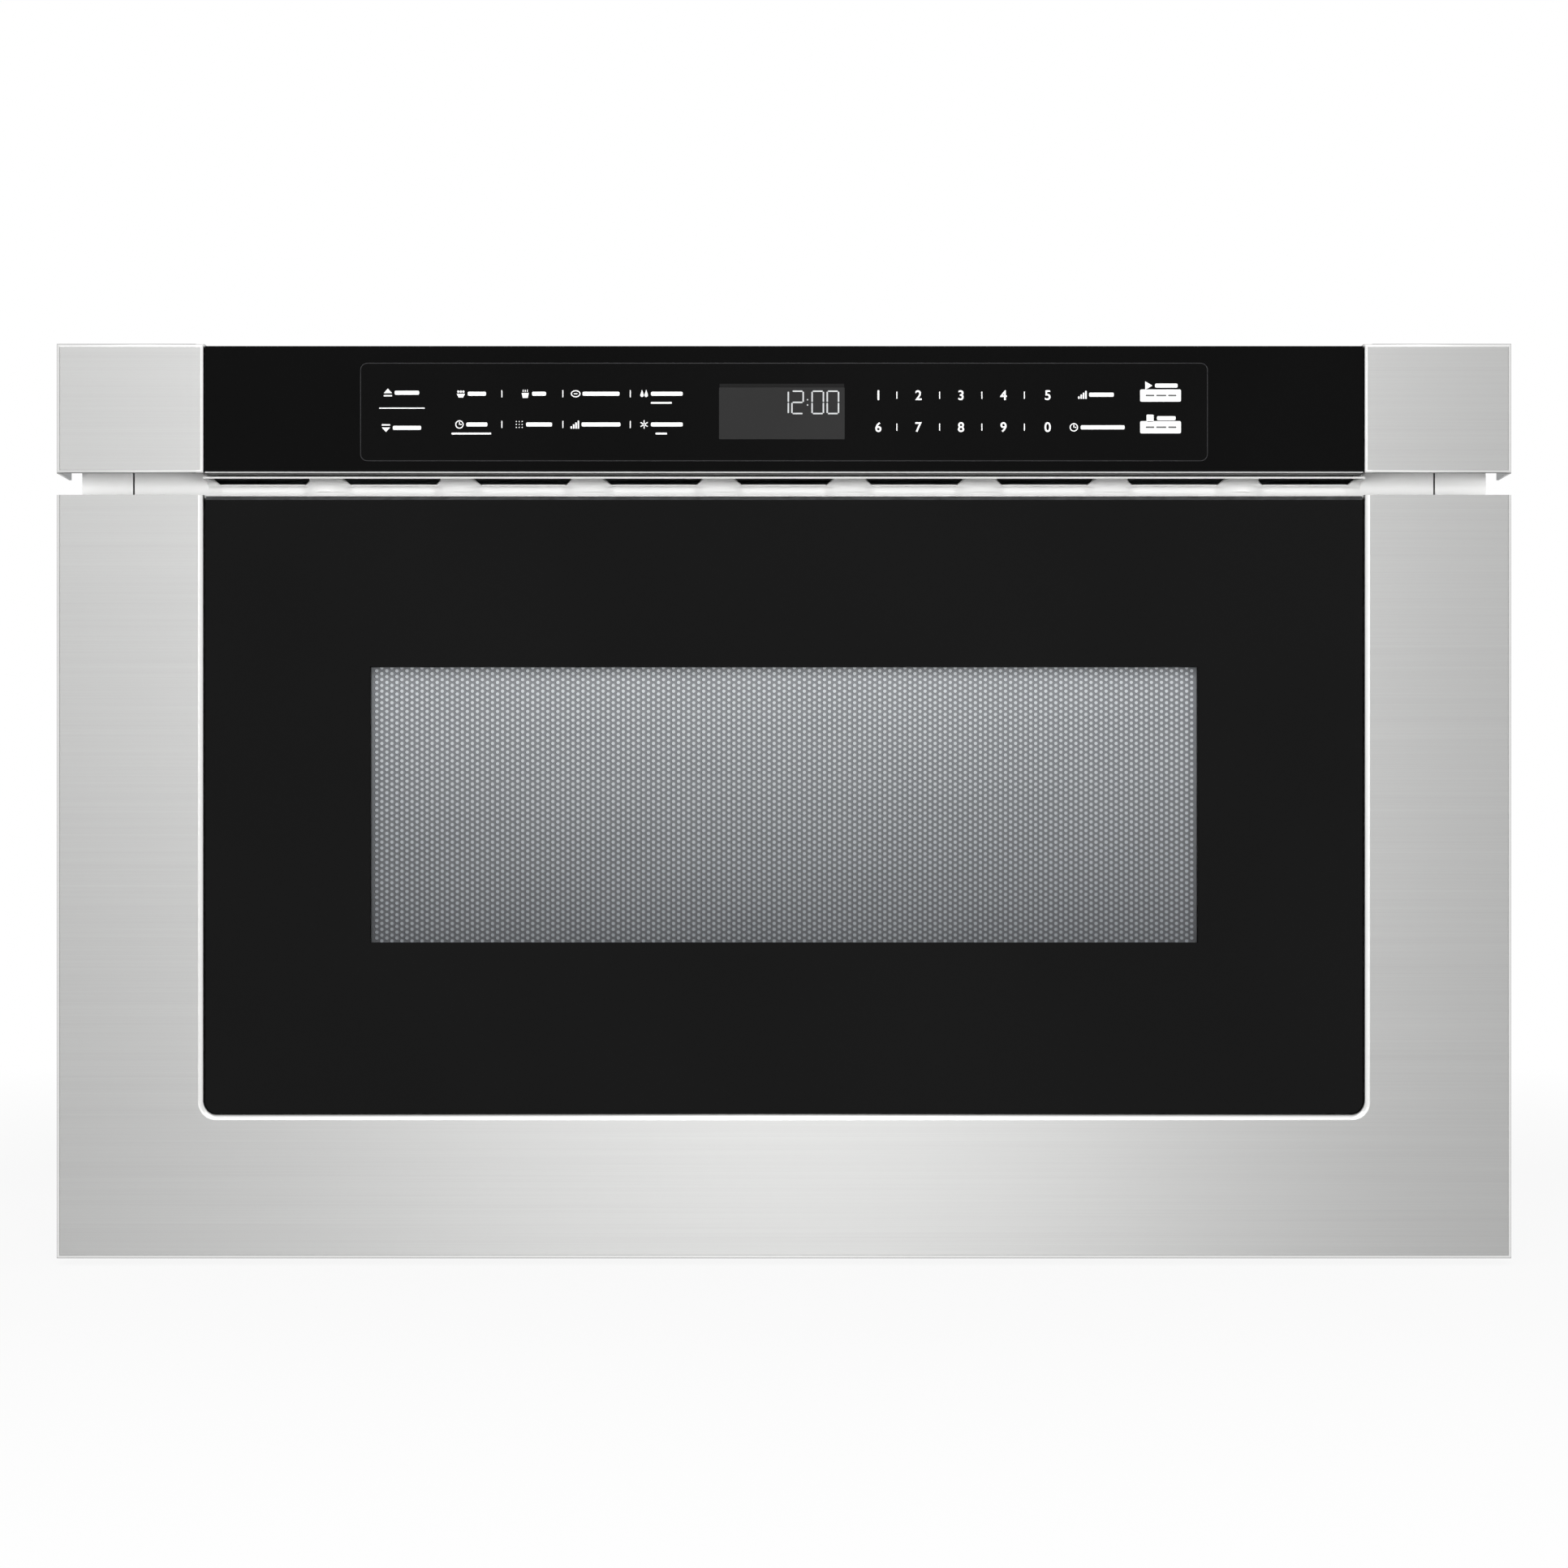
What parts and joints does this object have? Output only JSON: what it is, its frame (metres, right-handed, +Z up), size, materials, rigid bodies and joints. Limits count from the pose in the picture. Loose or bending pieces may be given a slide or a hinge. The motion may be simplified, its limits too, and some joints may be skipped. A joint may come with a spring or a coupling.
{
  "type": "microwave drawer",
  "caption": "Built-in microwave oven whose tub slides out with its door on ball-bearing rails, under a fixed glass control panel with vents and a mounting flange.",
  "frame": {"origin": "bottom centre of the whole object, on the plane of its feet", "axes": "+X to the right across the front, +Y from the front into the cabinet, +Z up"},
  "size_m": [0.606, 0.592, 0.384],
  "materials": {
    "stainless": "fine horizontal brushing, satin",
    "smoked_glass": "gloss black-tinted glass",
    "clear_glass": "clear toughened glass",
    "black_plastic": "matt black",
    "screen_metal": "perforated sheet, painted light grey",
    "grey_enamel": "satin light grey paint",
    "white_sheet": "satin pale grey paint",
    "galvanised": "zinc-coated sheet",
    "choke_plastic": "satin dark grey moulding",
    "ceramic": "smooth pale glass-ceramic",
    "zinc_steel": "bright zinc plate",
    "cage_metal": "plain strip with steel balls",
    "white_plastic": "natural acetal",
    "display": "dark lens with pale segments",
    "film": "gloss film with printed legends",
    "board_green": "coated circuit board",
    "rubber": "matt",
    "motor_steel": "plated can",
    "mica": "pale moulding",
    "aluminium": "bare sheet",
    "lamination": "varnished iron core",
    "bulb": "clear bulb",
    "screw": "plated steel"
  },
  "bodies": {
    "case": {"outer_rail_left": "zinc_steel", "outer_rail_right": "zinc_steel", "drive_motor": "motor_steel", "interlock_switches": "black_plastic", "base_plate": "galvanised", "rubber_feet": "rubber", "side_panel_left": "galvanised", "side_panel_right": "galvanised", "top_cover": "galvanised", "rear_panel": "galvanised", "cord_grommet": "rubber", "mounting_flanges": "white_sheet", "front_plate": "white_sheet", "lower_panel": "white_sheet", "oven_cavity": "grey_enamel", "cavity_stand": "galvanised", "waveguide": "galvanised", "stirrer_cover": "mica", "stirrer_motor": "motor_steel", "magnetron": "aluminium", "exhaust_duct": "white_plastic", "lamp_housing": "galvanised", "oven_lamp": "bulb", "power_transformer": "lamination", "capacitor": "aluminium", "fan_shroud": "black_plastic", "fan_motor": "motor_steel", "panel_cap_left": "stainless", "panel_cap_right": "stainless", "fascia_glass": "smoked_glass", "fascia_strip": "stainless", "touch_overlay": "film", "display_module": "display", "control_board": "board_green", "panel_housing": "black_plastic", "panel_carrier": "galvanised", "case_screws": "screw"},
    "drawer": {"door_frame": "stainless", "door_glass": "smoked_glass", "door_liner": "black_plastic", "door_screen": "screen_metal", "door_back": "galvanised", "choke_cover": "choke_plastic", "inner_window": "clear_glass", "drawer_tub": "grey_enamel", "ceramic_tray": "ceramic", "tub_glides": "white_plastic", "inner_rails": "zinc_steel", "slide_arm_left": "galvanised", "slide_arm_right": "galvanised", "drive_rack": "white_plastic", "interlock_keys": "white_plastic", "door_screws": "screw"},
    "middle_rails": {"middle_rails": "zinc_steel"},
    "outer_cages": {"outer_cages": "cage_metal"},
    "inner_cages": {"inner_cages": "cage_metal"},
    "pinion": {"drive_pinion": "white_plastic"},
    "stirrer": {"stirrer_fan": "aluminium"},
    "cooling_fan": {"fan_blade": "white_plastic"}
  },
  "joints": [
    {"name": "drawer_slide", "type": "slide", "parent": "case", "child": "drawer", "axis": [0, -1, 0], "range_m": [0, 0.375]},
    {"name": "middle_rail_slide", "type": "slide", "parent": "case", "child": "middle_rails", "axis": [0, -1, 0], "range_m": [0, 0.1875]},
    {"name": "outer_cage_slide", "type": "slide", "parent": "case", "child": "outer_cages", "axis": [0, -1, 0], "range_m": [0, 0.09375]},
    {"name": "inner_cage_slide", "type": "slide", "parent": "case", "child": "inner_cages", "axis": [0, -1, 0], "range_m": [0, 0.28125]},
    {"name": "pinion_spin", "type": "hinge", "parent": "case", "child": "pinion", "pos_m": [-0.257, -0.225, 0.0245], "axis": [1, 0, 0], "range_deg": [0, 1592]},
    {"name": "stirrer_spin", "type": "hinge", "parent": "case", "child": "stirrer", "pos_m": [0, -0.044, 0.272], "axis": [0, 0, 1], "continuous": true},
    {"name": "fan_spin", "type": "hinge", "parent": "case", "child": "cooling_fan", "pos_m": [0.13, 0.27, 0.19], "axis": [0, 1, 0], "continuous": true}
  ],
  "couplings": [
    {"joint": "middle_rail_slide", "follows": "drawer_slide", "ratio": 0.5},
    {"joint": "outer_cage_slide", "follows": "drawer_slide", "ratio": 0.25},
    {"joint": "inner_cage_slide", "follows": "drawer_slide", "ratio": 0.75},
    {"joint": "pinion_spin", "follows": "drawer_slide", "rad_per_m": 74.074}
  ]
}
